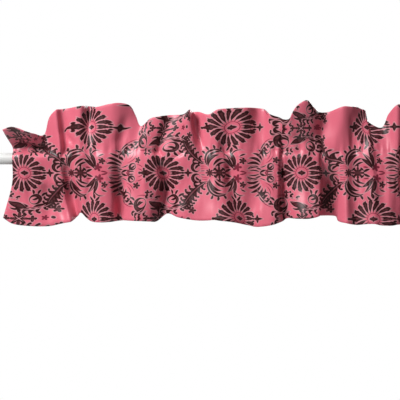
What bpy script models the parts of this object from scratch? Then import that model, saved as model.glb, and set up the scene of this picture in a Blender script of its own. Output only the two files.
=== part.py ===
"""Ruffled rod-pocket window valance, gathered on a plain curtain rod.

Run with: blender --background --python part.py, or from Blender's text editor.

Units are metres, +Z up. The rod lies along X, the room is on the -Y side and the window on the
+Y side. The origin is the middle of the rod's axis. Driving sizes below are in millimetres.

The valance is one length of cloth. Its top is turned over to the back and stitched twice, so that
it has, from the top down: a doubled header that stands up as a ruffle, a pocket that the rod goes
through, and a single skirt that hangs as a second ruffle.
"""

import math
from bisect import bisect_right
from collections import namedtuple
from itertools import accumulate

import bmesh
import bpy
from mathutils import Vector
from mathutils.geometry import interpolate_bezier

MM = 0.001

# Rod
ROD_LENGTH = 1220.0
ROD_DIAMETER = 28.0
ROD_SIDES = 48
ROD_EDGE_ROUND = 1.0

# Cloth: heights of the two rows of stitches above the rod's axis, and the thickness of its layers
SEAM_Z = 21.0
BASE_Z = -57.0
SHEET = 2.0
HEADER = 3.0
ROD_CLEARANCE = 2.1
POCKET_FLOOR = 5.0
POCKET_SWELL = 3.0

# How finely the cloth is divided: steps from one fold line to the next, and rows up each stretch,
# from the hem to the lower stitches, on to the rod's height, to the upper stitches and to the
# crest. The smooth curve that the rows are spaced along has so many steps a stretch
STEPS_PER_FOLD = 2
ROWS_UP = (4, 3, 4, 4)
CURVE_STEPS = 16

# One row for each fold line: a ridge, a valley or the side of a fold, followed down the cloth from
# the crest of the header, across the upper stitches (seam) and the lower stitches (base) to the
# hem. x is along the rod, z is up, and out is how far the line stands out from the rod's axis
# towards the room.
FoldLine = namedtuple(
    "FoldLine",
    "name x_head x_seam x_base x_hem z_head z_hem out_head out_seam out_base out_hem",
)
FOLD_LINES = [
    FoldLine("left edge", -564, -544, -544, -566, 68, -144, 42, 0, 14, 14),
    FoldLine("flap, tip", -544, -527, -524, -544, 74, -158, 51, 2, 16, 15),
    FoldLine("flap, ridge", -514, -500, -492, -500, 65, -164, 49, 3, 11, 15),
    FoldLine("flap, side", -485, -470, -461, -453, 58, -164, 34, 2, 7, 11),
    FoldLine("flap, gap", -467, -454, -441, -424, 58, -158, 2, 8, 5, 6),
    FoldLine("fold 1, rise", -453, -441, -434, -407, 100, -155, 16, 14, 8, 10),
    FoldLine("fold 1, ridge", -436, -427, -420, -402, 117, -154, 26, 22, 5, 10),
    FoldLine("valley 1", -423, -415, -405, -388, 119, -141, 15, 6, -12, -18),
    FoldLine("fold 2, rise", -409, -406, -394, -383, 121, -133, 16, 14, 2, -4),
    FoldLine("fold 2, ridge", -376, -382, -382, -374, 126, -134, 32, 26, 20, 16),
    FoldLine("valley 2", -354, -363, -355, -352, 127, -152, 2, 22, 16, 20),
    FoldLine("fold 3, rise", -338, -336, -326, -331, 124, -155, 24, 26, 25, 29),
    FoldLine("fold 3, ridge", -308, -306, -300, -304, 130, -154, 38, 28, 18, 22),
    FoldLine("fold 3, fall", -282, -292, -288, -290, 133, -152, 38, 23, -2, -2),
    FoldLine("valley 3", -256, -280, -280, -282, 127, -151, 24, 16, -6, -10),
    FoldLine("fold 4, rise", -243, -269, -272, -274, 104, -150, 15, 17, 14, 14),
    FoldLine("notch", -231, -242, -250, -252, 78, -151, 13, 20, 26, 32),
    FoldLine("fold 4, ridge", -208, -218, -210, -228, 96, -152, 25, 25, 29, 34),
    FoldLine("fold 4, fall", -184, -197, -187, -208, 101, -153, 26, 20, 21, 25),
    FoldLine("valley 4", -164, -187, -171, -190, 104, -152, 16, 10, -9, -9),
    FoldLine("fold 5, rise", -145, -173, -159, -167, 105, -134, 18, 16, -2, -8),
    FoldLine("fold 5, flat", -125, -138, -138, -138, 107, -143, 30, 25, 17, 22),
    FoldLine("fold 5, ridge", -111, -104, -100, -95, 117, -150, 32, 26, 22, 30),
    FoldLine("valley 5", -102, -82, -74, -66, 114, -150, -4, 16, 24, 37),
    FoldLine("fold 6, rise", -88, -69, -61, -52, 113, -149, 4, 22, 27, 42),
    FoldLine("fold 6, dip", -65, -49, -44, -35, 106, -151, 22, 27, 29, 47),
    FoldLine("fold 6, ridge", -44, -33, -28, -15, 117, -153, 31, 20, 24, 46),
    FoldLine("middle pinch", -17, -15, -10, 9, 120, -157, 31, 12, 8, 24),
    FoldLine("fold 7, ridge", 26, 14, 14, 31, 122, -162, 32, 24, 18, 6),
    FoldLine("valley 7", 57, 53, 46, 49, 122, -166, 8, 15, 12, 10),
    FoldLine("fold 8, rise", 71, 68, 65, 68, 119, -165, 10, 14, 14, 22),
    FoldLine("fold 8, ridge", 83, 94, 95, 92, 107, -161, 26, 25, 22, 26),
    FoldLine("fold 8, fall", 105, 106, 106, 105, 99, -157, 28, 23, 21, 20),
    FoldLine("valley 8", 115, 113, 113, 118, 93, -152, 36, 11, -2, -4),
    FoldLine("peak, rise", 130, 126, 124, 126, 94, -146, 50, 16, 6, -8),
    FoldLine("peak, left", 149, 148, 150, 150, 125, -146, 60, 24, 20, 28),
    FoldLine("peak", 172, 174, 178, 179, 138, -146, 64, 26, 26, 40),
    FoldLine("peak, right", 191, 200, 205, 205, 121, -140, 46, 21, 26, 38),
    FoldLine("valley 10, left", 209, 210, 212, 212, 111, -139, 20, 14, -8, -12),
    FoldLine("valley 10, right", 226, 220, 243, 245, 112, -140, 20, 18, -8, -14),
    FoldLine("fold 11, ridge", 261, 252, 252, 251, 124, -152, 44, 26, 16, 14),
    FoldLine("fold 11, fall", 282, 270, 268, 270, 124, -157, 36, 24, 30, 40),
    FoldLine("valley 11", 298, 293, 292, 296, 124, -161, 20, 17, 18, 26),
    FoldLine("fold 12, ridge", 310, 311, 316, 321, 120, -159, 9, 22, 24, 30),
    FoldLine("corner", 319, 331, 336, 340, 117, -159, 5, 26, 28, 34),
    FoldLine("corner, turned", 321, 341, 348, 354, 97, -162, 1, 20, 22, 28),
    FoldLine("low, left", 334, 350, 360, 366, 84, -163, 2, 19, 20, 26),
    FoldLine("low, right", 358, 364, 371, 382, 75, -163, 6, 16, 21, 25),
    FoldLine("fold 13, rise", 374, 377, 384, 395, 108, -161, 14, 18, 19, 18),
    FoldLine("fold 13, ridge", 394, 396, 399, 407, 129, -160, 32, 25, 16, 8),
    FoldLine("valley 14", 417, 414, 414, 419, 130, -158, 18, 13, -3, 0),
    FoldLine("fold 14, ridge", 439, 439, 441, 446, 127, -155, 32, 26, 22, 24),
    FoldLine("fold 14, fall", 463, 463, 468, 473, 122, -158, 20, 20, 24, 30),
    FoldLine("valley 15", 485, 483, 488, 495, 112, -162, 4, 12, 12, 20),
    FoldLine("fold 15, rise", 505, 502, 502, 510, 100, -164, 18, 18, 8, 10),
    FoldLine("fold 15, ridge", 527, 522, 519, 524, 92, -160, 32, 22, 18, 18),
    FoldLine("right end, swell", 546, 537, 534, 546, 90, -153, 36, 14, 18, 24),
    FoldLine("right edge", 566, 549, 549, 568, 85, -143, 32, 4, 8, 15),
]


def new_material(name, color, roughness):
    """A plain Principled material with a linear colour."""
    material = bpy.data.materials.new(name)
    material.use_nodes = True
    shader = material.node_tree.nodes["Principled BSDF"]
    shader.inputs["Base Color"].default_value = (*color, 1.0)
    shader.inputs["Roughness"].default_value = roughness
    material.diffuse_color = (*color, 1.0)
    return material


def point(x, out, z):
    return Vector((x, -out, z))


def fold_corners(line):
    """The line's points at the crest, the upper stitches, the lower stitches and the hem."""
    return (
        point(line.x_head, line.out_head, line.z_head),
        point(line.x_seam, line.out_seam, SEAM_Z),
        point(line.x_base, line.out_base, BASE_Z),
        point(line.x_hem, line.out_hem, line.z_hem),
    )


def smooth_through(points, steps):
    """A centripetal Catmull-Rom curve through the points, which neither loops nor overshoots."""
    ends = [2 * points[0] - points[1], *points, 2 * points[-1] - points[-2]]
    found = [points[0]]
    for before, start, end, after in zip(ends, ends[1:], ends[2:], ends[3:]):
        first = math.sqrt((start - before).length)
        middle = math.sqrt((end - start).length)
        last = math.sqrt((after - end).length)
        leave = (start - before) / first - (end - before) / (first + middle) + (end - start) / middle
        arrive = (end - start) / middle - (after - start) / (middle + last) + (after - end) / last
        handles = start + leave * middle / 3, end - arrive * middle / 3
        found += interpolate_bezier(start, *handles, end, steps + 1)[1:]
    return found


def clear_of_rod(place, gap):
    """The point, pushed straight away from the rod's axis where it would lie nearer than the gap."""
    radius = ROD_DIAMETER / 2 + gap
    distance = math.hypot(place.y, place.z)
    if distance >= radius:
        return place
    return Vector((place.x, place.y * radius / distance, place.z * radius / distance))


def at_rod_height(seam, base, side):
    """Where a layer of the pocket passes the rod's height. side is 1 in the room, -1 behind."""
    passing = seam.lerp(base, SEAM_Z / (SEAM_Z - BASE_Z))
    nearest = ROD_DIAMETER / 2 + ROD_CLEARANCE + SHEET
    out = max(nearest, -passing.y + POCKET_SWELL) if side > 0 else nearest + POCKET_SWELL
    return point(passing.x, side * out, 0)


def evenly(path, count):
    """The points that part the path into so many stretches of equal length, without its start."""
    lengths = [0, *accumulate((after - before).length for before, after in zip(path, path[1:]))]
    found = []
    for k in range(1, count):
        along = lengths[-1] * k / count
        i = bisect_right(lengths, along) - 1
        found.append(path[i].lerp(path[i + 1], (along - lengths[i]) / (lengths[i + 1] - lengths[i])))
    return [*found, path[-1]]


def rows_between(corners, rows):
    """Points along the smooth curve through the corners, with so many rows from each to the next."""
    curve = [clear_of_rod(p, ROD_CLEARANCE + SHEET) for p in smooth_through(corners, CURVE_STEPS)]
    found = [curve[0]]
    for stretch, count in enumerate(rows):
        found += evenly(curve[stretch * CURVE_STEPS : (stretch + 1) * CURVE_STEPS + 1], count)
    return found


def normals(grid):
    """Each point's unit normal on a grid of columns, towards the room for columns that run up."""
    found = []
    for i, column in enumerate(grid):
        left, right = grid[max(i - 1, 0)], grid[min(i + 1, len(grid) - 1)]
        found.append([])
        for j in range(len(column)):
            up = column[min(j + 1, len(column) - 1)] - column[max(j - 1, 0)]
            found[-1].append((right[j] - left[j]).cross(up).normalized())
    return found


def cloth_sections():
    """The outer loop and the pocket's inner loop of every section of the cloth, left to right."""
    levels = [smooth_through(points, STEPS_PER_FOLD) for points in zip(*map(fold_corners, FOLD_LINES))]
    fronts, backs = [], []
    for head, seam, base, hem in zip(*levels):
        fronts.append(rows_between((hem, base, at_rod_height(seam, base, 1), seam, head), ROWS_UP))
        seam_back, base_back = seam + Vector((0, HEADER, 0)), base + Vector((0, SHEET, 0))
        corners = base_back, at_rod_height(seam_back, base_back, -1), seam_back
        backs.append(rows_between(corners, ROWS_UP[1:3])[1:-1])
    first = ROWS_UP[0] + 1
    last = first + len(backs[0])
    sections = []
    for front, front_normals, back, back_normals in zip(fronts, normals(fronts), backs, normals(backs)):
        inward = [p - n * SHEET for p, n in zip(front, front_normals)]
        header_back = [p - n * HEADER for p, n in zip(front[last:], front_normals[last:])]
        outer = front + header_back[::-1] + back[::-1] + inward[:first][::-1]
        ceiling = Vector((front[last].x, 0, ROD_DIAMETER / 2 + ROD_CLEARANCE))
        floor = front[first - 1] + Vector((0, SHEET / 2, POCKET_FLOOR))
        inner_front = [clear_of_rod(p, ROD_CLEARANCE) for p in inward[first:last]]
        inner_back = [clear_of_rod(p + n * SHEET, ROD_CLEARANCE) for p, n in zip(back, back_normals)]
        sections.append((outer, inner_front + [ceiling] + inner_back[::-1] + [floor]))
    return sections


def loft(mesh, rings):
    """Joins each closed ring of vertices to the next with quads."""
    for ring, following in zip(rings, rings[1:]):
        for k in range(len(ring)):
            after = (k + 1) % len(ring)
            mesh.faces.new((ring[k], ring[after], following[after], following[k]))


def close_end(mesh, outer, inner):
    """Fills one end of the cloth: the skirt, the two layers of the pocket and the header."""
    skirt, pocket, header = ROWS_UP[0] + 1, len(inner) // 2 - 1, ROWS_UP[-1] + 1
    top = skirt + pocket
    count = len(outer)
    for j in [*range(skirt - 1), *range(top, top + header - 1)]:
        mesh.faces.new((outer[j], outer[j + 1], outer[count - 2 - j], outer[count - 1 - j]))
    for j in range(pocket - 1):
        front = skirt + j
        back = count - 1 - front
        mesh.faces.new((outer[front], outer[front + 1], inner[j + 1], inner[j]))
        mesh.faces.new((outer[back], outer[back - 1], inner[-3 - j], inner[-2 - j]))
    ceiling, floor = inner[pocket], inner[-1]
    mesh.faces.new(
        (outer[top], outer[top - 1], inner[pocket - 1], ceiling)
        + (inner[pocket + 1], outer[count - top], outer[count - 1 - top])
    )
    mesh.faces.new(
        (outer[skirt - 1], outer[skirt], inner[0], floor)
        + (inner[-2], outer[count - 1 - skirt], outer[count - skirt])
    )


def finished(name, mesh, material, collection):
    """Makes the mesh a named, smoothly shaded object."""
    bmesh.ops.recalc_face_normals(mesh, faces=mesh.faces)
    data = bpy.data.meshes.new(name)
    mesh.to_mesh(data)
    mesh.free()
    data.shade_smooth()
    data.set_sharp_from_angle(angle=math.radians(60))
    data.materials.append(material)
    made = bpy.data.objects.new(name, data)
    collection.objects.link(made)
    return made


def make_cloth(collection):
    mesh = bmesh.new()
    sections = cloth_sections()
    outers = [[mesh.verts.new(p * MM) for p in outer] for outer, _ in sections]
    inners = [[mesh.verts.new(p * MM) for p in inner] for _, inner in sections]
    loft(mesh, outers)
    loft(mesh, inners)
    for end in (0, -1):
        close_end(mesh, outers[end], inners[end])
    satin = new_material("printed pink satin", (0.68, 0.16, 0.22), 0.45)
    return finished("valance_cloth", mesh, satin, collection)


def make_rod(collection):
    mesh = bmesh.new()
    bmesh.ops.create_cone(
        mesh,
        cap_ends=True,
        segments=ROD_SIDES,
        radius1=ROD_DIAMETER / 2 * MM,
        radius2=ROD_DIAMETER / 2 * MM,
        depth=ROD_LENGTH * MM,
    )
    enamel = new_material("pale grey enamelled rod", (0.62, 0.62, 0.61), 0.4)
    rod = finished("rod", mesh, enamel, collection)
    rod.rotation_euler = (0, math.radians(90), 0)
    edge = rod.modifiers.new("rounded ends", "BEVEL")
    edge.width = ROD_EDGE_ROUND * MM
    edge.segments = 2
    edge.limit_method = "ANGLE"
    edge.angle_limit = math.radians(60)
    return rod


def main():
    for old in list(bpy.data.objects):
        bpy.data.objects.remove(old)
    collection = bpy.data.collections.new("window valance on a curtain rod")
    bpy.context.scene.collection.children.link(collection)
    make_cloth(collection)
    make_rod(collection)


main()
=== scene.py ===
"""The looks of a ruffled rod-pocket window valance on its curtain rod.

The cloth is one thin sheet of printed satin. It runs from its edge in the hem, which is turned up
behind, up the skirt and the pocket to the crest of the header, turns over there, and runs down the
back to the lower stitches. It follows the same fold lines as the solid that it stands for, divided
more finely, with the small creases, the gathers at the stitches and the print added. The stitches
are a piece of their own. The rod keeps its solid and gets its enamel.

Lengths are in millimetres until they reach a mesh, which is in metres, +Z up, with the room on the
-Y side and the origin in the middle of the rod's axis.
"""

import math
from bisect import bisect_right
from collections import namedtuple
from itertools import accumulate

import bmesh
import bpy
from mathutils import Matrix, Vector, noise
from mathutils.geometry import interpolate_bezier


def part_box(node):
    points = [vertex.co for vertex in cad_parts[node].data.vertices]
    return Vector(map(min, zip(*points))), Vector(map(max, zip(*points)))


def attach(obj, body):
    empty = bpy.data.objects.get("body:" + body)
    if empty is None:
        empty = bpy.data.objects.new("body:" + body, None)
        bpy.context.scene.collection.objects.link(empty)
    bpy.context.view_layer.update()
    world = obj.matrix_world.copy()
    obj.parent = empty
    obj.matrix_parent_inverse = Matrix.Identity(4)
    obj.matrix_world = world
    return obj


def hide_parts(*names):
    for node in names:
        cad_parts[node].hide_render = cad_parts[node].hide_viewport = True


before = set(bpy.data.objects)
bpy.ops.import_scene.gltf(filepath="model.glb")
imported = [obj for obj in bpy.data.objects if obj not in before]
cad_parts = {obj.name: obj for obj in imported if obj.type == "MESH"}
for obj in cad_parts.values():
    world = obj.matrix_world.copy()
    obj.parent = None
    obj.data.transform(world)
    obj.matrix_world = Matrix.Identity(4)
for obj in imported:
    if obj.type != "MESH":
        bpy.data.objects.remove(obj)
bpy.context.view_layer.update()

MM = 0.001

# Cloth, as in the solid: the rod, the heights of the two rows of stitches, how thick one layer and
# the doubled header stand, and how far the pocket keeps off the rod and swells round it
ROD_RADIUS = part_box("rod")[1].z / MM
SEAM_Z = 21.0
BASE_Z = -57.0
SHEET = 2.0
HEADER = 3.0
ROD_CLEARANCE = 2.1
POCKET_SWELL = 3.0

# Cloth, as drawn here: one layer's own thickness, the least gap to the rod, and how far the pocket's
# back stands off its front besides
LAYER = 0.9
ROD_GAP = 1.4
BACK_GAP = 0.5

# How finely the sheet is divided: columns in each fold, and rows up the skirt, the pocket below and
# above the rod, and the header, then over the crest and up the hem that is turned behind
STEPS_PER_FOLD = 10
ROWS_UP = (18, 8, 7, 16)
CURVE_STEPS = 24
CREST_STEPS = 3
HEM_ROWS = 3

# Sewing: each stitch is a bead of thread, drawn out along the cloth. The last two values are shares
# of a row of the sheet: how far above the lower seam and how far in from a cut edge stitches run.
STITCH_PITCH = 3.4
STITCH_LENGTH = 2.5
THREAD = 0.55
ABOVE_SEAM = 0.35
FROM_EDGE = 0.6

# Puckers that run from the stitches and swells between the folds: how deep, wide and long each is.
# The puckers of each row of stitches fade over one length above it and another below it.
Relief = namedtuple("Relief", "depth width length")
FINE_PUCKER = Relief(2.0, 6.0, 60.0)
BROAD_PUCKER = Relief(4.5, 15.0, 90.0)
SWELL = Relief(3.0, 30.0, 55.0)
PUCKER_FADES = ((SEAM_Z, 30.0, 16.0), (BASE_Z, 16.0, 34.0))
BROAD_SEED = 7.0
SWELL_SEED = 3.0

# View: the point at the middle of the picture, the width seen there, and how far off the camera is
VIEW_X = -85.75
VIEW_Z = -101.2
VIEW_WIDTH = 980.0
VIEW_DISTANCE = 4000.0

# Room: the floor's height, as far below the rod as in a real room, its half width, and how bright
# the surround is on the part, against its full white behind it
FLOOR_Z = -2100.0
FLOOR_REACH = 2500.0
SURROUND = 0.14

FoldLine = namedtuple(
    "FoldLine",
    "name x_head x_seam x_base x_hem z_head z_hem out_head out_seam out_base out_hem",
)
FOLD_LINES = [
    FoldLine("left edge", -564, -544, -544, -566, 68, -144, 42, 0, 14, 14),
    FoldLine("flap, tip", -544, -527, -524, -544, 74, -158, 51, 2, 16, 15),
    FoldLine("flap, ridge", -514, -500, -492, -500, 65, -164, 49, 3, 11, 15),
    FoldLine("flap, side", -485, -470, -461, -453, 58, -164, 34, 2, 7, 11),
    FoldLine("flap, gap", -467, -454, -441, -424, 58, -158, 2, 8, 5, 6),
    FoldLine("fold 1, rise", -453, -441, -434, -407, 100, -155, 16, 14, 8, 10),
    FoldLine("fold 1, ridge", -436, -427, -420, -402, 117, -154, 26, 22, 5, 10),
    FoldLine("valley 1", -423, -415, -405, -388, 119, -141, 15, 6, -12, -18),
    FoldLine("fold 2, rise", -409, -406, -394, -383, 121, -133, 16, 14, 2, -4),
    FoldLine("fold 2, ridge", -376, -382, -382, -374, 126, -134, 32, 26, 20, 16),
    FoldLine("valley 2", -354, -363, -355, -352, 127, -152, 2, 22, 16, 20),
    FoldLine("fold 3, rise", -338, -336, -326, -331, 124, -155, 24, 26, 25, 29),
    FoldLine("fold 3, ridge", -308, -306, -300, -304, 130, -154, 38, 28, 18, 22),
    FoldLine("fold 3, fall", -282, -292, -288, -290, 133, -152, 38, 23, -2, -2),
    FoldLine("valley 3", -256, -280, -280, -282, 127, -151, 24, 16, -6, -10),
    FoldLine("fold 4, rise", -243, -269, -272, -274, 104, -150, 15, 17, 14, 14),
    FoldLine("notch", -231, -242, -250, -252, 78, -151, 13, 20, 26, 32),
    FoldLine("fold 4, ridge", -208, -218, -210, -228, 96, -152, 25, 25, 29, 34),
    FoldLine("fold 4, fall", -184, -197, -187, -208, 101, -153, 26, 20, 21, 25),
    FoldLine("valley 4", -164, -187, -171, -190, 104, -152, 16, 10, -9, -9),
    FoldLine("fold 5, rise", -145, -173, -159, -167, 105, -134, 18, 16, -2, -8),
    FoldLine("fold 5, flat", -125, -138, -138, -138, 107, -143, 30, 25, 17, 22),
    FoldLine("fold 5, ridge", -111, -104, -100, -95, 117, -150, 32, 26, 22, 30),
    FoldLine("valley 5", -102, -82, -74, -66, 114, -150, -4, 16, 24, 37),
    FoldLine("fold 6, rise", -88, -69, -61, -52, 113, -149, 4, 22, 27, 42),
    FoldLine("fold 6, dip", -65, -49, -44, -35, 106, -151, 22, 27, 29, 47),
    FoldLine("fold 6, ridge", -44, -33, -28, -15, 117, -153, 31, 20, 24, 46),
    FoldLine("middle pinch", -17, -15, -10, 9, 120, -157, 31, 12, 8, 24),
    FoldLine("fold 7, ridge", 26, 14, 14, 31, 122, -162, 32, 24, 18, 6),
    FoldLine("valley 7", 57, 53, 46, 49, 122, -166, 8, 15, 12, 10),
    FoldLine("fold 8, rise", 71, 68, 65, 68, 119, -165, 10, 14, 14, 22),
    FoldLine("fold 8, ridge", 83, 94, 95, 92, 107, -161, 26, 25, 22, 26),
    FoldLine("fold 8, fall", 105, 106, 106, 105, 99, -157, 28, 23, 21, 20),
    FoldLine("valley 8", 115, 113, 113, 118, 93, -152, 36, 11, -2, -4),
    FoldLine("peak, rise", 130, 126, 124, 126, 94, -146, 50, 16, 6, -8),
    FoldLine("peak, left", 149, 148, 150, 150, 125, -146, 60, 24, 20, 28),
    FoldLine("peak", 172, 174, 178, 179, 138, -146, 64, 26, 26, 40),
    FoldLine("peak, right", 191, 200, 205, 205, 121, -140, 46, 21, 26, 38),
    FoldLine("valley 10, left", 209, 210, 212, 212, 111, -139, 20, 14, -8, -12),
    FoldLine("valley 10, right", 226, 220, 243, 245, 112, -140, 20, 18, -8, -14),
    FoldLine("fold 11, ridge", 261, 252, 252, 251, 124, -152, 44, 26, 16, 14),
    FoldLine("fold 11, fall", 282, 270, 268, 270, 124, -157, 36, 24, 30, 40),
    FoldLine("valley 11", 298, 293, 292, 296, 124, -161, 20, 17, 18, 26),
    FoldLine("fold 12, ridge", 310, 311, 316, 321, 120, -159, 9, 22, 24, 30),
    FoldLine("corner", 319, 331, 336, 340, 117, -159, 5, 26, 28, 34),
    FoldLine("corner, turned", 321, 341, 348, 354, 97, -162, 1, 20, 22, 28),
    FoldLine("low, left", 334, 350, 360, 366, 84, -163, 2, 19, 20, 26),
    FoldLine("low, right", 358, 364, 371, 382, 75, -163, 6, 16, 21, 25),
    FoldLine("fold 13, rise", 374, 377, 384, 395, 108, -161, 14, 18, 19, 18),
    FoldLine("fold 13, ridge", 394, 396, 399, 407, 129, -160, 32, 25, 16, 8),
    FoldLine("valley 14", 417, 414, 414, 419, 130, -158, 18, 13, -3, 0),
    FoldLine("fold 14, ridge", 439, 439, 441, 446, 127, -155, 32, 26, 22, 24),
    FoldLine("fold 14, fall", 463, 463, 468, 473, 122, -158, 20, 20, 24, 30),
    FoldLine("valley 15", 485, 483, 488, 495, 112, -162, 4, 12, 12, 20),
    FoldLine("fold 15, rise", 505, 502, 502, 510, 100, -164, 18, 18, 8, 10),
    FoldLine("fold 15, ridge", 527, 522, 519, 524, 92, -160, 32, 22, 18, 18),
    FoldLine("right end, swell", 546, 537, 534, 546, 90, -153, 36, 14, 18, 24),
    FoldLine("right edge", 566, 549, 549, 568, 85, -143, 32, 4, 8, 15),
]


# A crease runs along the front through three places and fades towards its ends. depth is how far
# the cloth is pressed in there, or pushed out where it is negative, and width is how far to each
# side it fades. The two widest are shallow troughs that turn the left end from the light.
Crease = namedtuple("Crease", "x z mid_x mid_z to_x to_z width depth")
CREASE_REACH = 3
CREASE_FADE = 0.7
CREASES = [
    Crease(-552, 30, -504, 28, -454, 12, 10.0, 10.0),
    Crease(-452, 17, -449, -17, -447, -50, 36.0, 5.0),
    Crease(-450, -64, -446, -108, -440, -152, 40.0, 9.0),
    Crease(-418, 24, -409, -52, -402, -138, 9.0, 4.5),
    Crease(-416, 60, -404, 46, -390, 32, 5.0, 4.0),
    Crease(-430, 116, -421, 90, -421, 56, 9.0, 4.0),
    Crease(-262, 108, -276, 60, -292, 32, 12.0, 5.0),
    Crease(-292, -50, -284, -100, -281, -145, 9.0, 5.0),
    Crease(-238, 26, -212, 20, -190, 12, 5.0, 4.5),
    Crease(-191, 26, -170, -35, -176, -95, 10.0, 5.0),
    Crease(-160, -6, -142, 6, -122, 17, 4.5, 3.5),
    Crease(-103, 114, -95, 70, -80, 20, 8.0, 6.0),
    Crease(-36, 44, -15, 2, -11, -64, 6.0, 5.5),
    Crease(50, 110, 52, 50, 47, 0, 12.0, 4.0),
    Crease(0, -70, 30, -92, 50, -130, 16.0, 4.0),
    Crease(113, 32, 113, -10, 112, -50, 5.0, 4.5),
    Crease(108, -60, 112, -95, 118, -140, 8.0, 4.0),
    Crease(211, 24, 213, 0, 214, -30, 4.0, 4.0),
    Crease(284, 110, 285, 60, 285, 20, 6.0, 5.0),
    Crease(150, 60, 170, 30, 186, 12, 7.0, -3.0),
    Crease(330, 36, 352, 10, 372, -36, 6.0, 3.5),
    Crease(126, 54, 168, 40, 206, 50, 13.0, 6.0),
    Crease(-470, -60, -462, -100, -450, -150, 16.0, 5.0),
]


def point(x, out, z):
    return Vector((x, -out, z))


def fold_corners(line):
    """The line's points at the crest, the upper stitches, the lower stitches and the hem."""
    return (
        point(line.x_head, line.out_head, line.z_head),
        point(line.x_seam, line.out_seam, SEAM_Z),
        point(line.x_base, line.out_base, BASE_Z),
        point(line.x_hem, line.out_hem, line.z_hem),
    )


def smooth_through(points, steps):
    """A centripetal Catmull-Rom curve through the points, which neither loops nor overshoots."""
    ends = [2 * points[0] - points[1], *points, 2 * points[-1] - points[-2]]
    found = [points[0]]
    for before, start, end, after in zip(ends, ends[1:], ends[2:], ends[3:]):
        first = math.sqrt((start - before).length)
        middle = math.sqrt((end - start).length)
        last = math.sqrt((after - end).length)
        leave = (start - before) / first - (end - before) / (first + middle) + (end - start) / middle
        arrive = (end - start) / middle - (after - start) / (middle + last) + (after - end) / last
        handles = start + leave * middle / 3, end - arrive * middle / 3
        found += interpolate_bezier(start, *handles, end, steps + 1)[1:]
    return found


def clear_of_rod(place, gap):
    """The point, pushed straight away from the rod's axis where it would lie nearer than the gap."""
    radius = ROD_RADIUS + gap
    distance = math.hypot(place.y, place.z)
    if distance >= radius:
        return place
    return Vector((place.x, place.y * radius / distance, place.z * radius / distance))


def at_rod_height(seam, base, side):
    """Where a layer of the pocket passes the rod's height. side is 1 in the room, -1 behind."""
    passing = seam.lerp(base, SEAM_Z / (SEAM_Z - BASE_Z))
    nearest = ROD_RADIUS + ROD_CLEARANCE + SHEET
    out = max(nearest, -passing.y + POCKET_SWELL) if side > 0 else nearest + POCKET_SWELL
    return point(passing.x, side * out, 0)


def evenly(path, count):
    """The points that part the path into so many stretches of equal length, without its start."""
    lengths = [0, *accumulate((after - before).length for before, after in zip(path, path[1:]))]
    found = []
    for k in range(1, count):
        along = lengths[-1] * k / count
        i = bisect_right(lengths, along) - 1
        found.append(path[i].lerp(path[i + 1], (along - lengths[i]) / (lengths[i + 1] - lengths[i])))
    return [*found, path[-1]]


def rows_between(corners, rows):
    """Points along the smooth curve through the corners, with so many rows from each to the next."""
    curve = [clear_of_rod(p, ROD_CLEARANCE + SHEET) for p in smooth_through(corners, CURVE_STEPS)]
    found = [curve[0]]
    for stretch, count in enumerate(rows):
        found += evenly(curve[stretch * CURVE_STEPS : (stretch + 1) * CURVE_STEPS + 1], count)
    return found


def normals(grid):
    """Each point's unit normal on a grid of columns, towards the room for columns that run up."""
    found = []
    for i, column in enumerate(grid):
        left, right = grid[max(i - 1, 0)], grid[min(i + 1, len(grid) - 1)]
        found.append([])
        for j in range(len(column)):
            up = column[min(j + 1, len(column) - 1)] - column[max(j - 1, 0)]
            found[-1].append((right[j] - left[j]).cross(up).normalized())
    return found


def crease_depth(place):
    """How far the front is pressed in at a place by the creases near it."""
    here = Vector((place.x, place.z))
    depth = 0
    for crease in CREASES:
        middle = Vector((crease.mid_x, crease.mid_z))
        nearest = math.inf
        for half, end in enumerate((Vector((crease.x, crease.z)), Vector((crease.to_x, crease.to_z)))):
            along = end - middle
            share = min(max((here - middle).dot(along) / along.length_squared, 0), 1)
            away = (here - middle - along * share).length / crease.width
            if away < nearest:
                nearest, fade = away, math.cos(math.pi / 2 * share)
        if nearest < CREASE_REACH:
            depth += crease.depth * math.exp(-nearest * nearest) * fade**CREASE_FADE
    return depth


def relief_at(relief, place, seed):
    """How far the cloth is pushed out at a place. Each seed gives another run of the relief."""
    across, up = place.x / relief.width, place.z / relief.length
    return relief.depth * noise.noise(Vector((across, up, seed)))


def gathers(place):
    """Puckers that run up and down from the stitches, and fade away from them."""
    found = 0
    for seam_z, above, below in PUCKER_FADES:
        away = place.z - seam_z
        fade = math.exp(-abs(away) / (above if away > 0 else below))
        fine = relief_at(FINE_PUCKER, place, seam_z)
        broad = relief_at(BROAD_PUCKER, place, seam_z + BROAD_SEED)
        found += fade * (fine * fade + broad)
    return found


def unevenness(place):
    """The soft swells that hanging cloth has between its folds."""
    return relief_at(SWELL, place, SWELL_SEED)


def stitched_share(place):
    """How much of a crease the pocket's back takes from its front: all of it at the stitches."""
    middle = (SEAM_Z + BASE_Z) / 2
    return min(((place.z - middle) / (SEAM_Z - middle)) ** 2, 1)


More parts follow.
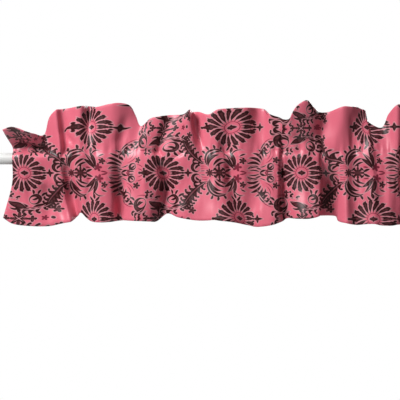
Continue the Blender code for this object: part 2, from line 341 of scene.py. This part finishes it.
def sheet_columns():
    """The middle of the sheet's thickness, as columns of points from the hem's edge to the back's."""
    levels = [smooth_through(points, STEPS_PER_FOLD) for points in zip(*map(fold_corners, FOLD_LINES))]
    fronts, backs = [], []
    for head, seam, base, hem in zip(*levels):
        fronts.append(rows_between((hem, base, at_rod_height(seam, base, 1), seam, head), ROWS_UP))
        seam_back, base_back = seam + Vector((0, HEADER, 0)), base + Vector((0, SHEET, 0))
        corners = base_back, at_rod_height(seam_back, base_back, -1), seam_back
        backs.append(rows_between(corners, ROWS_UP[1:3])[:-1])
    seam_row = sum(ROWS_UP[:3])
    half = LAYER / 2
    columns = []
    for front, front_normals, back, back_normals in zip(fronts, normals(fronts), backs, normals(backs)):
        moved = [
            p + n * (gathers(p) + unevenness(p) - crease_depth(p)) for p, n in zip(front, front_normals)
        ]
        hem = [p - n * (SHEET - half) for p, n in zip(moved[HEM_ROWS::-1], front_normals[HEM_ROWS::-1])]
        fold = moved[0] - front_normals[0] * SHEET / 2 - (moved[1] - moved[0]).normalized() * half
        column = [*hem, fold]
        column += [clear_of_rod(p - n * half, half + ROD_GAP) for p, n in zip(moved, front_normals)]
        crest, up = moved[-1], (front[-1] - front[-2]).normalized()
        turn = (HEADER - LAYER) / 2
        for k in range(1, CREST_STEPS + 1):
            angle = math.pi * k / (CREST_STEPS + 1)
            depth = HEADER / 2 - turn * math.cos(angle)
            column.append(crest - front_normals[-1] * depth + up * turn * math.sin(angle))
        header = list(zip(moved[seam_row:], front_normals[seam_row:]))[::-1]
        column += [p - n * (HEADER - half) for p, n in header[::2]]
        for p, n in list(zip(back, back_normals))[::-1]:
            out = half - BACK_GAP + gathers(p) + unevenness(p) - crease_depth(p) * stitched_share(p)
            column.append(clear_of_rod(p + n * out, half + ROD_GAP))
        columns.append(column)
    return columns


def print_places(columns):
    """Each point's place on the flat print: x as gathered, and the cloth's length up from a row."""
    found = []
    for column in columns:
        lengths = [0, *accumulate((after - before).length for before, after in zip(column, column[1:]))]
        reached = next(j for j, p in enumerate(column) if p.z > PRINT_ROW_Z)
        below, above = column[reached - 1], column[reached]
        share = (PRINT_ROW_Z - below.z) / (above.z - below.z)
        zero = lengths[reached - 1] + share * (lengths[reached] - lengths[reached - 1])
        across = below.lerp(above, share).x
        found.append([(across, length - zero) for length in lengths])
    return found


def make_cloth(columns):
    places = print_places(columns)
    rows = len(columns[0])
    mesh = bmesh.new()
    bmesh.ops.create_grid(mesh, x_segments=len(columns) - 1, y_segments=rows - 1, size=1)
    layer = mesh.loops.layers.uv.new("print")
    for vertex in mesh.verts:
        i = round((vertex.co.x + 1) / 2 * (len(columns) - 1))
        j = round((vertex.co.y + 1) / 2 * (rows - 1))
        vertex.co = columns[i][j] * MM
        for loop in vertex.link_loops:
            loop[layer].uv = places[i][j][0] * MM, places[i][j][1] * MM
    data = bpy.data.meshes.new("valance_sheet")
    mesh.to_mesh(data)
    mesh.free()
    data.shade_smooth()
    made = bpy.data.objects.new("valance_sheet", data)
    bpy.context.scene.collection.objects.link(made)
    wall = made.modifiers.new("cloth thickness", "SOLIDIFY")
    wall.thickness = LAYER * MM
    wall.offset = 0
    wall.use_even_offset = False
    wall.material_offset = 1
    return made


def on_sheet(columns, i, row):
    """A point on the sheet's printed face at a column and a row, which may lie between two rows."""
    j = int(row)
    below, above = columns[i][j], columns[i][j + 1]
    across = columns[min(i + 1, len(columns) - 1)][j] - columns[max(i - 1, 0)][j]
    outward = across.cross(above - below).normalized()
    return below.lerp(above, row - j) + outward * LAYER / 2, outward


def make_stitches(columns):
    """Rows of running stitches: two round the pocket and one along the hem, in front and behind."""
    front_row = HEM_ROWS + 2
    base_row = front_row + ROWS_UP[0]
    seam_row = base_row + sum(ROWS_UP[1:3])
    back_seam_row = seam_row + ROWS_UP[3] + CREST_STEPS + ROWS_UP[3] // 2 + 1
    last_row = len(columns[0]) - 1
    rows = (
        front_row + HEM_ROWS - FROM_EDGE,
        base_row + ABOVE_SEAM,
        seam_row,
        back_seam_row,
        last_row - FROM_EDGE,
        FROM_EDGE,
    )
    mesh = bmesh.new()
    for row in rows:
        path = [on_sheet(columns, i, row) for i in range(len(columns))]
        lengths = [0, *accumulate((b[0] - a[0]).length for a, b in zip(path, path[1:]))]
        for k in range(1, int(lengths[-1] / STITCH_PITCH)):
            along = k * STITCH_PITCH
            i = min(bisect_right(lengths, along), len(path) - 1) - 1
            (start, outward), (end, _) = path[i], path[i + 1]
            centre = start.lerp(end, (along - lengths[i]) / (lengths[i + 1] - lengths[i]))
            run = (end - start).normalized()
            across = outward.cross(run)
            axes = Matrix((run * STITCH_LENGTH / 2, across * THREAD / 2, outward * THREAD / 2))
            place = Matrix.Translation(centre * MM) @ (axes.transposed() * MM).to_4x4()
            bmesh.ops.create_icosphere(mesh, subdivisions=1, radius=1, matrix=place)
    data = bpy.data.meshes.new("stitches")
    mesh.to_mesh(data)
    mesh.free()
    data.shade_smooth()
    made = bpy.data.objects.new("stitches", data)
    bpy.context.scene.collection.objects.link(made)
    return made


def linear(hex_colour):
    """An sRGB hex colour as a linear colour with alpha."""
    parts = [int(hex_colour[i : i + 2], 16) / 255 for i in (1, 3, 5)]
    return *(c / 12.92 if c <= 0.04045 else ((c + 0.055) / 1.055) ** 2.4 for c in parts), 1.0


def add(tree, kind, *inputs, named=None, **settings):
    """Adds a node with its settings, and fills its inputs in order or by name."""
    node = tree.nodes.new(kind)
    for name, value in settings.items():
        setattr(node, name, value)
    sockets = {socket.identifier: socket for socket in node.inputs}
    by_name = [(sockets[name], value) for name, value in (named or {}).items()]
    for socket, value in [*zip(node.inputs, inputs), *by_name]:
        if isinstance(value, bpy.types.Node):
            value = next(output for output in value.outputs if output.enabled)
        if isinstance(value, bpy.types.NodeSocket):
            tree.links.new(value, socket)
        elif value is not None:
            socket.default_value = value
    return node


def new_material(name):
    """An empty material with its tree, its shader and the shader linked to the output."""
    material = bpy.data.materials.new(name)
    material.use_nodes = True
    material.node_tree.nodes.clear()
    tree = material.node_tree
    shader = add(tree, "ShaderNodeBsdfPrincipled")
    add(tree, "ShaderNodeOutputMaterial", shader)
    return material, tree, shader


def make_camera():
    data = bpy.data.cameras.new("camera")
    camera = bpy.data.objects.new("camera", data)
    bpy.context.scene.collection.objects.link(camera)
    camera.location = point(VIEW_X, VIEW_DISTANCE, VIEW_Z) * MM
    camera.rotation_euler = (math.radians(90), 0, 0)
    data.angle = 2 * math.atan(VIEW_WIDTH / 2 / VIEW_DISTANCE)
    bpy.context.scene.camera = camera


def make_light(name, place, size, power):
    """A round soft light, this many metres across and watts strong, aimed at the rod's middle."""
    data = bpy.data.lights.new(name, "AREA")
    data.shape = "DISK"
    data.size = size
    data.energy = power
    light = bpy.data.objects.new(name, data)
    bpy.context.scene.collection.objects.link(light)
    light.location = place
    light.rotation_euler = (-Vector(place)).to_track_quat("-Z", "Y").to_euler()


# Print: the repeat's width, and the height from a row of medallions to the next, where they stand
# half a repeat along, then the height of a first row and the middle of one of its medallions. A
# place is x along the row from a medallion's middle, and y away from the nearest row of the first
# kind, so that the print is mirrored about every row.
REPEAT = 338.0
ROW_PITCH = 113.0
PRINT_ROW_Z = -35.0
MEDALLION_X = -176.0

# A leaf lies between two arcs from its root to its tip. left and right are how far the arcs swell
# to each side, and a negative swell bends the leaf the other way.
Leaf = namedtuple("Leaf", "x y tip_x tip_y left right")

# Leaves along one side of a bowed stem: how many, the longest one's reach, and their lean
Spray = namedtuple("Spray", "x y to_x to_y bow leaves reach lean")

# A curl is a disc with a smaller one taken out of it a little to one side
Curl = namedtuple("Curl", "x y radius hollow_x hollow_y hollow")
Dot = namedtuple("Dot", "x y radius")
Flower = namedtuple("Flower", "x y radius petals")

# Medallion, with a lozenge in its middle and a cross on each side. The petals are drawn once, as if
# all lay along x, and turned round the middle. Fine lines join them to a ring inside them.
PETALS = 18
PETAL_TWIST = math.radians(0.6)
PETAL = [Leaf(18, 0, 48, 0, 4.2, 4.2), Dot(38, 0.3, 5.3), Dot(43, 3.2, 3.4)]
PETAL_ROOT = Leaf(14.5, 0, 23, 0, 1.1, 1.1)
MEDALLION_RING = Curl(0, 0, 14.8, 0, 0, 13.4)
MEDALLION = [
    Leaf(-10, 0, 10, 0, 4.6, 4.6),
    Leaf(0, -7, 0, 7, 3.4, 3.4),
    Leaf(-34, 0, -60, 0, 3.6, 3.6),
    Leaf(-46, -11, -46, 11, 3.2, 3.2),
    Dot(-46, 9.5, 3.0),
    Dot(-57, 0, 3.2),
    Leaf(53, 0, 42, 0, 2.6, 2.6),
    Leaf(51, 12, 37, 17, 5.0, 2.0),
    Leaf(53, 6, 41, 8, 3.0, 2.0),
    Leaf(61, -11, 61, 11, 3.2, 3.2),
    Leaf(49, 0, 73, 0, 3.2, 3.2),
    Dot(61, 0, 4.6),
]

# The spray that stands between two medallions of the first row
CLUSTER = [
    Curl(80, 13.5, 12, 84, 13, 8.2),
    Leaf(90, 19, 79, 9, 0.8, 4.6),
    Leaf(92, 4, 103, 5, 1.4, 0.4),
    Leaf(109, 18, 149, 52, 24, -11),
    Leaf(107, 46, 100, 54, 1.2, 4.4),
    Leaf(116, 55, 110, 65, 1.2, 4.6),
    Leaf(129, 58, 127, 69, 1.2, 4.6),
    Leaf(141, 56, 146, 66, 1.2, 4.4),
    Leaf(112, 15, 139, 44, 13, -4.5),
    Leaf(124, 17, 149, 35, 7.5, -1.5),
    Leaf(128, 14, 153, 26, 5.5, -0.5),
    Flower(114, 0, 10.5, 8),
    Flower(137, 0, 15.5, 8),
    Leaf(123, 4, 131, 13, 3.4, 1.0),
    Leaf(151, 4, 143, 13, 1.0, 3.4),
    Dot(137, 17.5, 2.8),
    Dot(157, 5, 2.4),
    Leaf(150, 1, 167, 9, 4.5, 1.5),
    Leaf(173, 10, 146, 35, 1.0, 8.0),
    Leaf(175, 13, 151, 48, 1.0, 8.0),
    Leaf(177, 17, 166, 53, 2.5, 6.5),
    Leaf(169, 42, 192, 56, 7.0, -4.0),
    Leaf(168, 50, 171, 64, 3.5, 3.5),
    Leaf(157, 57, 168, 69, 4.0, 1.5),
    Leaf(183, 57, 171, 69, 1.5, 4.0),
    Flower(193, 29, 8.5, 5),
    Leaf(186, 40, 200, 46, 3.0, 1.0),
    Leaf(233, 14, 205, 9, -0.8, 7.0),
    Leaf(235, 19, 203, 22, -1.2, 8.0),
    Leaf(237, 24, 206, 36, -1.5, 8.5),
    Leaf(240, 30, 214, 48, -1.5, 8.0),
    Leaf(243, 36, 226, 58, -1.5, 7.0),
    Leaf(250, 38, 241, 58, -0.5, 5.0),
    Leaf(252, 20, 236, 14, 3.0, -0.5),
    Leaf(240, 8, 226, 12, 1.5, 2.0),
    Leaf(236, 2, 210, 5, -1.0, 4.5),
    Leaf(236, 0, 251, 7, 4.0, 1.5),
    Curl(262, 15, 9.0, 264, 16, 5.4),
    Leaf(257, 11, 268, 19, 0.8, 3.6),
    Flower(275, 31, 8.5, 5),
    Leaf(254, 3, 268, 3, 2.0, 1.0),
]
CLUSTER_LINES = [
    Leaf(90, 9, 109, 11, 1.9, -0.7),
    Leaf(91, 15, 109, 15, 2.2, -1.0),
    Leaf(92, 21, 109, 19, 2.8, -1.6),
    Leaf(94, 27, 109, 23, 2.8, -1.4),
    Leaf(97, 33, 110, 27, 2.8, -1.4),
    Flower(181, 14, 11, 5),
    Leaf(150, 14, 163, 12, 3.0, 1.0),
    Leaf(186, 4, 204, 0, 3.0, 1.0),
    Leaf(181, 40, 206, 22, 5.0, -3.0),
    Leaf(249, 24, 270, 46, -3.0, 5.0),
    Leaf(252, 32, 262, 56, -3.0, 5.0),
    Flower(254, 4, 6, 5),
    Leaf(272, 20, 290, 12, 3.5, -1.5),
    Leaf(276, 10, 290, 2, 3.0, -1.0),
]

# Pale lines that part the spray's large leaves along their middle
CLUSTER_VEINS = [
    Leaf(111, 20, 147, 51, 18.6, -16.6),
    Leaf(172, 20, 154, 46, -2.5, 4.2),
    Leaf(172, 44, 189, 54, 2.5, -0.9),
    Leaf(228, 15, 209, 11, -2.8, 4.2),
]

# The garland that arches over a medallion of the first row and under the next row's
FEATHERS = [
    Spray(107, 20, 52, 74, 6, 8, 31, -42),
    Spray(107, 20, 52, 74, 6, 7, 23, 44),
    Spray(56, 78, 0, 88, -6, 5, 18, -42),
    Spray(-2, 70, -36, 62, 4, 3, 13, 50),
    Spray(-108, 36, -76, 78, 8, 4, 15, -58),
    Spray(-22, 92, -66, 94, -6, 4, 18, -52),
]
GARLAND = [
    Curl(26, 65, 13, 23, 67, 8.4),
    Leaf(33, 59, 19, 66, 1.0, 4.6),
    Leaf(47, 79, 22, 84, 4.5, 1.0),
    Leaf(38, 59, 50, 51, 1.0, 4.5),
    Leaf(31, 54, 38, 42, 1.0, 4.5),
    Leaf(21, 53, 18, 41, 4.5, 1.0),
    Leaf(-65, 69, -77, 60, 4.5, 1.0),
    Leaf(-67, 78, -81, 76, 4.5, 1.0),
    Leaf(-12, 80, 2, 95, 4.0, 1.5),
    Leaf(2, 80, 16, 93, 4.0, 1.5),
    Leaf(14, 82, -28, 70, 4.0, 10),
    Leaf(4, 84, -22, 86, -2.0, 7.0),
    Curl(-50, 78, 17, -46, 75, 11.0),
    Leaf(-59, 84, -41, 72, 1.0, 6.2),
    Leaf(-48, 70, -56, 76, 3.0, 0.6),
    Leaf(-34, 86, -64, 100, 2.0, 7.5),
    Curl(-89, 59, 13.5, -86, 58, 9.2),
    Leaf(-95, 64, -82, 55, 1.0, 5.0),
    Flower(67, 92, 9, 5),
    Flower(-36, 48, 6, 4),
    Dot(-27, 47, 2.6),
    Flower(0, 113, 17, 8),
    Flower(-24, 113, 8, 4),
    Flower(23, 113, 8, 4),
    Dot(58, 113, 4.0),
]
GARLAND_LINES = [
    Leaf(107, 22, 52, 75, 8.0, -5.6),
    Leaf(54, 73, -6, 79, -8.0, 10),
    Leaf(40, 98, -4, 94, 4.0, -2.0),
    Leaf(-66, 84, -104, 60, -5.0, 7.0),
    Leaf(-104, 62, -110, 40, 4.0, -2.0),
    Leaf(-30, 60, -62, 58, 5.0, -3.0),
    Flower(44, 113, 7, 5),
    Flower(-46, 112, 7, 5),
]

# Pale lines in the garland: two along its large leaves, and a cross in its flower at the top
GARLAND_VEINS = [
    Leaf(8, 83, -24, 73, 7.4, -5.8),
    Leaf(-38, 88, -60, 97, -2.0, 3.6),
    Leaf(-8, 106, 8, 120, 0.8, 0.8),
    Leaf(-8, 120, 8, 106, 0.8, 0.8),
]

# A spray's stem is pale. Each of its leaves ends in a round tip, which lies back from the leaf's
# end by its own radius, turned so many degrees from the leaf's heading.
STEM_WIDTH = 2.2
TIP_RADIUS = 2.6
TIP_TURN = 162.0


def spray_leaves(spray):
    """The leaves of a spray with their round tips, longest in the middle and bent to the stem's end."""
    start, end = Vector((spray.x, spray.y)), Vector((spray.to_x, spray.to_y))
    along = end - start
    across = along.orthogonal().normalized() * spray.bow * 4
    found = []
    for k in range(spray.leaves):
        share = (k + 0.5) / spray.leaves
        root = start + along * share + across * share * (1 - share)
        heading = along + across * (1 - 2 * share)
        reach = spray.reach * (0.6 + 0.4 * math.sin(math.pi * share))
        angle = math.atan2(heading.y, heading.x) + math.radians(spray.lean)
        tip = root + Vector((math.cos(angle), math.sin(angle))) * reach
        inner, outer = -0.14 * reach, 0.40 * reach + 2.4
        swell = (inner, outer) if spray.lean > 0 else (outer, inner)
        found.append(Leaf(*root, *tip, *swell))
        towards = angle + math.copysign(math.radians(TIP_TURN), spray.lean)
        middle = tip + Vector((math.cos(towards), math.sin(towards))) * TIP_RADIUS
        found.append(Dot(*middle, TIP_RADIUS))
    return found


def spray_stem(spray):
    """The pale line that parts the leaves on the two sides of a spray's stem."""
    ends = spray.x, spray.y, spray.to_x, spray.to_y
    return Leaf(*ends, spray.bow + STEM_WIDTH / 2, STEM_WIDTH / 2 - spray.bow)


def inside_arc(tree, at, start, end, bulge):
    """How far a place lies inside the arc from start to end that swells by bulge to its left."""
    chord = end - start
    radius = (chord.length_squared / 4 + bulge**2) / (2 * bulge)
    centre = (start + end) / 2 + Vector((-chord.y, chord.x, 0)).normalized() * (bulge - radius)
    distance = add(tree, "ShaderNodeVectorMath", at, centre, operation="DISTANCE")
    sides = (abs(radius), distance) if bulge > 0 else (distance, abs(radius))
    return add(tree, "ShaderNodeMath", *sides, operation="SUBTRACT")


def inside_leaf(tree, at, leaf):
    start, end = Vector((leaf.x, leaf.y, 0)), Vector((leaf.tip_x, leaf.tip_y, 0))
    left = inside_arc(tree, at, start, end, leaf.left)
    right = inside_arc(tree, at, end, start, leaf.right)
    return add(tree, "ShaderNodeMath", left, right, operation="MINIMUM")


def inside_dot(tree, at, dot):
    distance = add(tree, "ShaderNodeVectorMath", at, (dot.x, dot.y, 0), operation="DISTANCE")
    return add(tree, "ShaderNodeMath", dot.radius, distance, operation="SUBTRACT")


def inside_curl(tree, at, curl):
    disc = inside_dot(tree, at, Dot(curl.x, curl.y, curl.radius))
    middle = curl.hollow_x, curl.hollow_y, 0
    distance = add(tree, "ShaderNodeVectorMath", at, middle, operation="DISTANCE")
    left = add(tree, "ShaderNodeMath", distance, curl.hollow, operation="SUBTRACT")
    return add(tree, "ShaderNodeMath", disc, left, operation="MINIMUM")


def inside_flower(tree, at, flower):
    """A flower whose edge swings between its full radius and four tenths of it."""
    local = add(tree, "ShaderNodeVectorMath", at, (flower.x, flower.y, 0), operation="SUBTRACT")
    distance = add(tree, "ShaderNodeVectorMath", local, operation="LENGTH")
    parts = add(tree, "ShaderNodeSeparateXYZ", local)
    angle = add(tree, "ShaderNodeMath", parts.outputs["Y"], parts.outputs["X"], operation="ARCTAN2")
    swing = add(tree, "ShaderNodeMath", angle, flower.petals / 2, operation="MULTIPLY")
    wave = add(tree, "ShaderNodeMath", swing, operation="COSINE")
    share = add(tree, "ShaderNodeMath", wave, operation="ABSOLUTE")
    edge = add(
        tree, "ShaderNodeMath", share, flower.radius * 0.6, flower.radius * 0.4, operation="MULTIPLY_ADD"
    )
    return add(tree, "ShaderNodeMath", edge, distance, operation="SUBTRACT")


SHAPES = {Leaf: inside_leaf, Dot: inside_dot, Curl: inside_curl, Flower: inside_flower}

# What a place starts from before a motif is drawn: further out than any ink reaches
FAR_OUTSIDE = -100.0


def inside_any(tree, at, motifs, found=FAR_OUTSIDE):
    """How far a place lies inside the nearest motif. Each is joined to the rest before the next."""
    for motif in motifs:
        inside = SHAPES[type(motif)](tree, at, motif)
        found = add(tree, "ShaderNodeMath", found, inside, operation="MAXIMUM")
    return found


def petal_place(tree, at):
    """The place turned back to the first petal, which lies along x, and bent a little."""
    parts = add(tree, "ShaderNodeSeparateXYZ", at)
    angle = add(tree, "ShaderNodeMath", parts.outputs["Y"], parts.outputs["X"], operation="ARCTAN2")
    distance = add(tree, "ShaderNodeVectorMath", at, operation="LENGTH")
    bent = add(tree, "ShaderNodeMath", distance, PETAL_TWIST, angle, operation="MULTIPLY_ADD")
    half = math.pi / PETALS
    turned = add(tree, "ShaderNodeMath", bent, half, -half, operation="WRAP")
    across = add(tree, "ShaderNodeMath", turned, distance, operation="MULTIPLY")
    return add(tree, "ShaderNodeCombineXYZ", distance, across)


def print_places_in_repeat(tree):
    """Where a place lies from its medallion, in the spray's span and in the garland's."""
    flat = add(tree, "ShaderNodeUVMap", uv_map="print")
    parts = add(tree, "ShaderNodeSeparateXYZ", flat)
    x = add(tree, "ShaderNodeMath", parts.outputs["X"], 1 / MM, -MEDALLION_X, operation="MULTIPLY_ADD")
    y = add(tree, "ShaderNodeMath", parts.outputs["Y"], 1 / MM, operation="MULTIPLY")
    row = add(tree, "ShaderNodeMath", y, ROW_PITCH, operation="PINGPONG")
    near = add(tree, "ShaderNodeMath", y, ROW_PITCH / 2, operation="PINGPONG")
    odd = add(tree, "ShaderNodeMath", row, ROW_PITCH / 2, operation="GREATER_THAN")
    dropped = add(tree, "ShaderNodeMath", odd, REPEAT / 2, x, operation="MULTIPLY_ADD")
    half = add(tree, "ShaderNodeMath", dropped, REPEAT / 2, -REPEAT / 2, operation="WRAP")
    spray = add(tree, "ShaderNodeMath", x, REPEAT, 0.0, operation="WRAP")
    arch = add(tree, "ShaderNodeMath", x, REPEAT / 2, -REPEAT / 2, operation="WRAP")
    return [
        add(tree, "ShaderNodeCombineXYZ", half, near),
        add(tree, "ShaderNodeCombineXYZ", spray, row),
        add(tree, "ShaderNodeCombineXYZ", arch, row),
    ]


def draw_print(tree):
    """How far a place lies inside the dark motifs, and inside the fine wine-red ones."""
    medallion, cluster, garland = print_places_in_repeat(tree)
    petal = petal_place(tree, medallion)
    dark = inside_any(tree, petal, PETAL)
    dark = inside_any(tree, medallion, MEDALLION, dark)
    dark = inside_any(tree, cluster, CLUSTER, dark)
    dark = inside_any(tree, garland, GARLAND, dark)
    for spray in FEATHERS:
        dark = inside_any(tree, garland, spray_leaves(spray), dark)
    pale = inside_any(tree, cluster, CLUSTER_VEINS)
    pale = inside_any(tree, garland, [*GARLAND_VEINS, *map(spray_stem, FEATHERS)], pale)
    around = add(tree, "ShaderNodeMath", pale, -1.0, operation="MULTIPLY")
    dark = add(tree, "ShaderNodeMath", dark, around, operation="MINIMUM")
    fine = inside_any(tree, petal, [PETAL_ROOT])
    fine = inside_any(tree, medallion, [MEDALLION_RING], fine)
    fine = inside_any(tree, cluster, CLUSTER_LINES, fine)
    return dark, inside_any(tree, garland, GARLAND_LINES, fine)


def layered_inks(tree, ground, inks):
    """The ground with each ink laid over it where its mask is one."""
    colour = linear(ground)
    for mask, ink in inks:
        colour = add(
            tree, "ShaderNodeMix", data_type="RGBA",
            named={"Factor_Float": mask, "A_Color": colour, "B_Color": linear(ink)},
        )
    return colour


def woven_sheen(tree, shader, smooth, rough):
    """Fine streaks along the threads, in the relief and in how rough the shine is."""
    flat = add(tree, "ShaderNodeUVMap", uv_map="print")
    # Threads are 0.1 mm apart, too fine to show, so the streaks are 0.7 mm by 9 mm bundles of them.
    threads = add(tree, "ShaderNodeMapping", flat, None, None, (1 / 0.009, 1 / 0.0007, 1.0))
    streaks = add(tree, "ShaderNodeTexNoise", threads, noise_dimensions="2D", named={"Scale": 1.0})
    bump = add(tree, "ShaderNodeBump", named={"Strength": 0.35, "Distance": 0.00006, "Height": streaks})
    tree.links.new(bump.outputs[0], shader.inputs["Normal"])
    roughness = add(tree, "ShaderNodeMapRange", streaks, 0.3, 0.7, smooth, rough)
    tree.links.new(roughness.outputs[0], shader.inputs["Roughness"])


def print_masks(tree):
    """How much of the pale outline, the fine red ink, the dark ink and its paler middle there is.

    The distances are in millimetres from a motif's edge, which each ink crosses softly.
    """
    dark, fine = draw_print(tree)
    return [
        add(tree, "ShaderNodeMapRange", dark, -2.1, -0.8, 0.0, 0.7),
        add(tree, "ShaderNodeMapRange", fine, -0.3, 0.4, 0.0, 0.9),
        add(tree, "ShaderNodeMapRange", dark, -0.45, 0.45, 0.0, 1.0),
        add(tree, "ShaderNodeMapRange", dark, 2.5, 3.4, 0.0, 0.35),
    ]


def make_satin():
    """Polyester satin: smooth floats of thread give it a soft broad shine, also over the print."""
    material, tree, shader = new_material("polyester satin, printed side")
    masks = print_masks(tree)
    inks = zip(masks, ("#B98A90", "#5C1024", "#2B090B", "#6E363E"))
    tree.links.new(layered_inks(tree, "#C85F71", inks).outputs["Result"], shader.inputs["Base Color"])
    shader.inputs["Specular IOR Level"].default_value = 0.34
    woven_sheen(tree, shader, 0.34, 0.42)
    return material


def make_reverse():
    """The satin's reverse: duller and paler, with the print only as a shadow through the cloth."""
    material, tree, shader = new_material("polyester satin, reverse")
    masks = print_masks(tree)
    inks = zip(masks, ("#CF8B96", "#B96675", "#8E4A55", "#96545E"))
    tree.links.new(layered_inks(tree, "#D3808D", inks).outputs["Result"], shader.inputs["Base Color"])
    woven_sheen(tree, shader, 0.6, 0.7)
    return material


def make_thread():
    """Spun polyester thread in the ground's pink: matt, its fibres in two near tones."""
    material, tree, shader = new_material("spun polyester thread")
    place = add(tree, "ShaderNodeTexCoord")
    # Single fibres are too fine to show, so the tones change over 0.4 mm.
    fibres = add(
        tree, "ShaderNodeTexNoise", named={"Vector": place.outputs["Object"], "Scale": 1 / 0.0004}
    )
    colour = add(
        tree, "ShaderNodeMix", data_type="RGBA",
        named={"Factor_Float": fibres, "A_Color": linear("#B54C61"), "B_Color": linear("#D97488")},
    )
    tree.links.new(colour.outputs["Result"], shader.inputs["Base Color"])
    shader.inputs["Roughness"].default_value = 0.65
    return material


def make_enamel():
    """Wood under pale grey satin enamel: an even coat with a soft shine and faint brush marks."""
    material, tree, shader = new_material("satin enamel on wood")
    place = add(tree, "ShaderNodeTexCoord")
    # The brush ran along the rod. Its marks are 1.5 mm wide, coarser than real ones, so that they show.
    per_mark = 1 / 0.12, 1 / 0.0015, 1 / 0.0015
    marks = add(tree, "ShaderNodeMapping", place.outputs["Object"], None, None, per_mark)
    brushed = add(tree, "ShaderNodeTexNoise", named={"Vector": marks, "Scale": 1.0, "Detail": 3.0})
    colour = add(
        tree, "ShaderNodeMix", data_type="RGBA",
        named={"Factor_Float": brushed, "A_Color": linear("#C2C2C0"), "B_Color": linear("#CCCCCA")},
    )
    tree.links.new(colour.outputs["Result"], shader.inputs["Base Color"])
    bump = add(tree, "ShaderNodeBump", named={"Strength": 0.25, "Distance": 0.0001, "Height": brushed})
    tree.links.new(bump.outputs[0], shader.inputs["Normal"])
    shader.inputs["Roughness"].default_value = 0.38
    return material


def make_stage():
    """A pale matt floor well below the hem, and a plain white surround."""
    floor = bpy.data.meshes.new("floor")
    mesh = bmesh.new()
    bmesh.ops.create_grid(mesh, x_segments=1, y_segments=1, size=FLOOR_REACH * MM)
    bmesh.ops.translate(mesh, verts=mesh.verts, vec=(0, 0, FLOOR_Z * MM))
    mesh.to_mesh(floor)
    mesh.free()
    made = bpy.data.objects.new("floor", floor)
    bpy.context.scene.collection.objects.link(made)
    material, tree, shader = new_material("matt white paint")
    shader.inputs["Base Color"].default_value = linear("#F6F6F6")
    shader.inputs["Roughness"].default_value = 0.8
    floor.materials.append(material)

    world = bpy.data.worlds.new("white surround")
    bpy.context.scene.world = world
    world.use_nodes = True
    tree = world.node_tree
    tree.nodes.clear()
    path = add(tree, "ShaderNodeLightPath")
    strength = add(tree, "ShaderNodeMapRange", path.outputs["Is Camera Ray"], 0.0, 1.0, SURROUND, 1.0)
    background = add(tree, "ShaderNodeBackground", (1, 1, 1, 1), strength)
    add(tree, "ShaderNodeOutputWorld", background)


def main():
    bpy.context.scene.view_settings.view_transform = "Standard"
    make_camera()
    # Lit from the upper left in front, a little from above, and from behind so that the back shows
    make_light("key", (-2.1, -2.3, 2.0), 1.2, 190)
    make_light("top", (0.0, -0.6, 2.4), 1.2, 16)
    make_light("back", (1.8, 2.8, 1.2), 1.6, 90)
    make_stage()

    columns = sheet_columns()
    cloth = make_cloth(columns)
    cloth.data.materials.append(make_satin())
    cloth.data.materials.append(make_reverse())
    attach(cloth, "root")
    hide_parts("valance_cloth")
    stitches = make_stitches(columns)
    stitches.data.materials.append(make_thread())
    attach(stitches, "root")

    enamel = make_enamel()
    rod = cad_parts["rod"]
    for slot in rod.material_slots:
        slot.material = enamel


main()
